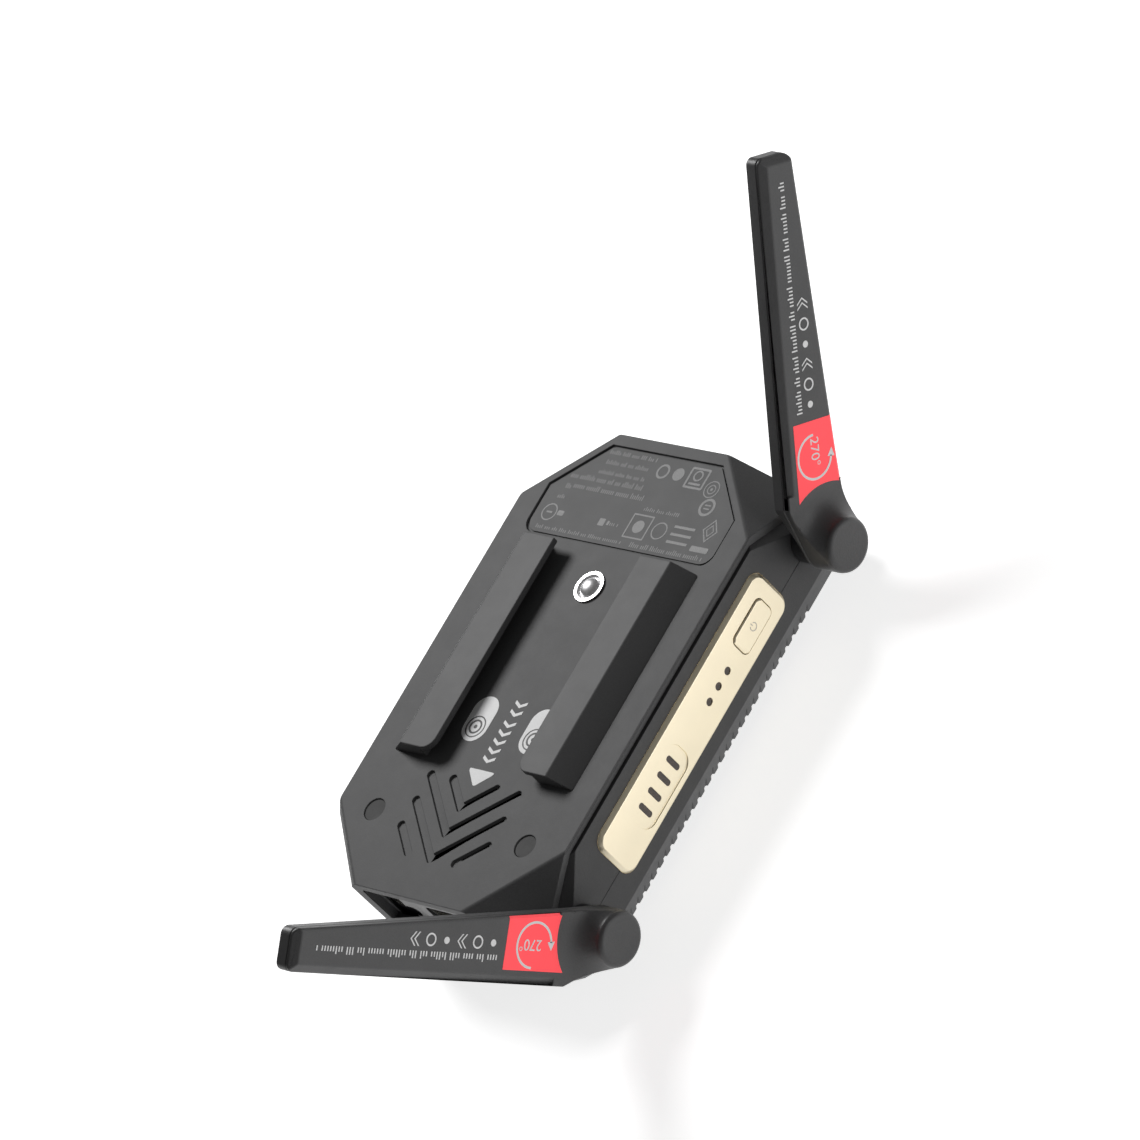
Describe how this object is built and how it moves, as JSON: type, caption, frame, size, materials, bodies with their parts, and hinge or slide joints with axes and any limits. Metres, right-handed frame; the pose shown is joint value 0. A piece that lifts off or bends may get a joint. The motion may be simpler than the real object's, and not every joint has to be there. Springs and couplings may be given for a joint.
{
  "type": "wireless camera transmitter",
  "caption": "Flat octagonal wireless camera transmitter with a slide-in rail mount, a sprung detent ball, a metal control plate and folding blade antennas on side hinges.",
  "frame": {"origin": "centre of the flat front face, which the body rests on", "axes": "+X towards the side with the metal control plate and the antennas, +Y along the body towards the label end, +Z out of the back face that carries the slide rails"},
  "size_m": [0.0795, 0.1933, 0.0815],
  "materials": {
    "cover_grey": "fine spark-eroded texture, mid-dark grey",
    "frame_black": "fine texture, near black",
    "rail_black": "smooth satin, near black",
    "label_film": "printed film, satin",
    "plug_rubber": "matte",
    "gold_anodised": "bead-blasted champagne gold anodising",
    "steel": "bright plated",
    "socket_steel": "satin nickel",
    "spring_steel": "drawn wire",
    "brass": "turned",
    "lens_smoked": "smoked light guide",
    "port_black": "satin",
    "switch_black": "satin",
    "circuit_board": "solder mask",
    "battery_wrap": "shrink film",
    "foam_black": "closed-cell foam",
    "heat_sink_aluminium": "extruded",
    "mesh_fabric": "woven dust screen",
    "lead_jacket": "extruded jacket",
    "antenna_black": "smooth satin, near black",
    "shaft_black": "satin"
  },
  "bodies": {
    "root": {"front_cover": "frame_black", "middle_frame": "frame_black", "rear_cover": "cover_grey", "label_plate": "label_film", "screw_plugs": "plug_rubber", "case_screws": "steel", "lock_sleeve": "steel", "lock_spring": "spring_steel", "side_plate": "gold_anodised", "button_switch": "switch_black", "side_board": "circuit_board", "status_light_guides": "lens_smoked", "level_light_guides": "lens_smoked", "port_panel": "port_black", "hdmi_socket": "socket_steel", "usb_c_socket": "socket_steel", "main_board": "circuit_board", "board_screws": "steel", "board_posts": "frame_black", "battery_pack": "battery_wrap", "battery_pad": "foam_black", "rf_shield": "socket_steel", "processor": "switch_black", "thermal_pad": "foam_black", "heat_sink": "heat_sink_aluminium", "fan_frame": "port_black", "dust_mesh": "mesh_fabric", "antenna_leads": "lead_jacket", "slide_rail_left": "rail_black", "slide_rail_right": "rail_black", "hinge_bush_upper": "brass", "hinge_bush_lower": "brass", "friction_washer_upper": "spring_steel", "friction_washer_lower": "spring_steel"},
    "antenna_upper": {"antenna_upper_front_shell": "antenna_black", "antenna_upper_back_shell": "antenna_black", "antenna_upper_radiator": "circuit_board", "antenna_upper_hinge_shaft": "shaft_black", "antenna_upper_retaining_clip": "spring_steel"},
    "antenna_lower": {"antenna_lower_front_shell": "antenna_black", "antenna_lower_back_shell": "antenna_black", "antenna_lower_radiator": "circuit_board", "antenna_lower_hinge_shaft": "shaft_black", "antenna_lower_retaining_clip": "spring_steel"},
    "power_button": {"power_button": "gold_anodised"},
    "lock_ball": {"lock_ball": "steel"},
    "fan_rotor": {"fan_rotor": "port_black"}
  },
  "joints": [
    {"name": "antenna_upper_hinge", "type": "hinge", "parent": "root", "child": "antenna_upper", "pos_m": [0.0338, 0.0468, 0.0134], "axis": [1, 0, 0], "range_deg": [-228, 42]},
    {"name": "antenna_lower_hinge", "type": "hinge", "parent": "root", "child": "antenna_lower", "pos_m": [0.0338, -0.0468, 0.0134], "axis": [1, 0, 0], "range_deg": [-29.6, 240.4]},
    {"name": "power_button_press", "type": "slide", "parent": "root", "child": "power_button", "axis": [-1, 0, 0], "range_m": [0, 0.0004], "stiffness_N_per_m": 1500, "springref_m": -0.0005},
    {"name": "lock_ball_press", "type": "slide", "parent": "root", "child": "lock_ball", "axis": [0, 0, -1], "range_m": [0, 0.0012], "stiffness_N_per_m": 2000, "springref_m": -0.001, "deforming": ["lock_spring"]},
    {"name": "fan_spin", "type": "hinge", "parent": "root", "child": "fan_rotor", "pos_m": [0, -0.0338, 0.0203], "axis": [0, 0, 1], "continuous": true}
  ]
}
